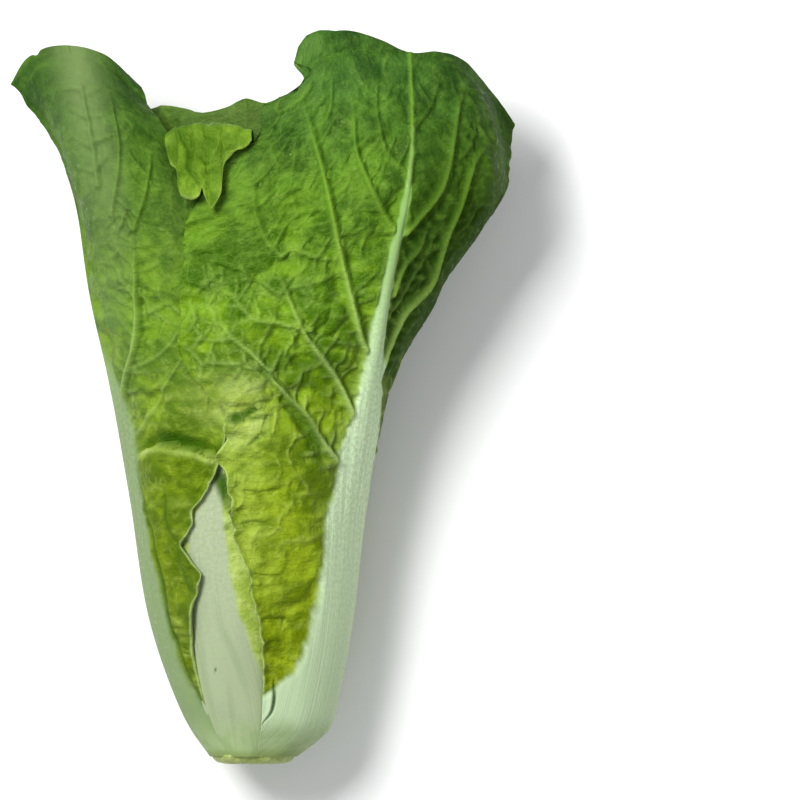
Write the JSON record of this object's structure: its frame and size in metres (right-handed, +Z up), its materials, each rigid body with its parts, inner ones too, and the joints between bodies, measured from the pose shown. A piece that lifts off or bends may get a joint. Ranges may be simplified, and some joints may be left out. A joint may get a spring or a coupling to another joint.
{
  "type": "baby_bok_choy",
  "caption": "Head of baby bok choy lying on its back, pale fleshy petioles, crinkled green leaves, cut butt",
  "frame": {"origin": "under the middle of the head's box, on the surface it lies on", "axes": "+Y runs from the cut butt to the leaf tips, +X is the head's right with the big outer leaf, +Z is up"},
  "size_m": [0.1376, 0.1994, 0.0639],
  "materials": {
    "leaf": "semi-gloss waxy leaf, pale petiole",
    "young_leaf": "semi-gloss young leaf, cream petiole",
    "cut_stem": "matte cut stem"
  },
  "bodies": {
    "root": {"butt": "cut_stem", "outer_leaf_right": "leaf", "outer_leaf_left": "leaf", "front_leaf": "young_leaf", "outer_leaf_back": "leaf", "inner_leaf_front": "young_leaf", "second_leaf_right": "leaf", "second_leaf_left": "leaf", "inner_leaf_right": "young_leaf", "inner_leaf_left": "young_leaf", "inner_leaf_back": "young_leaf", "inner_leaf_middle": "young_leaf", "heart_leaf_front": "young_leaf", "heart_leaf_back": "young_leaf"}
  },
  "joints": []
}
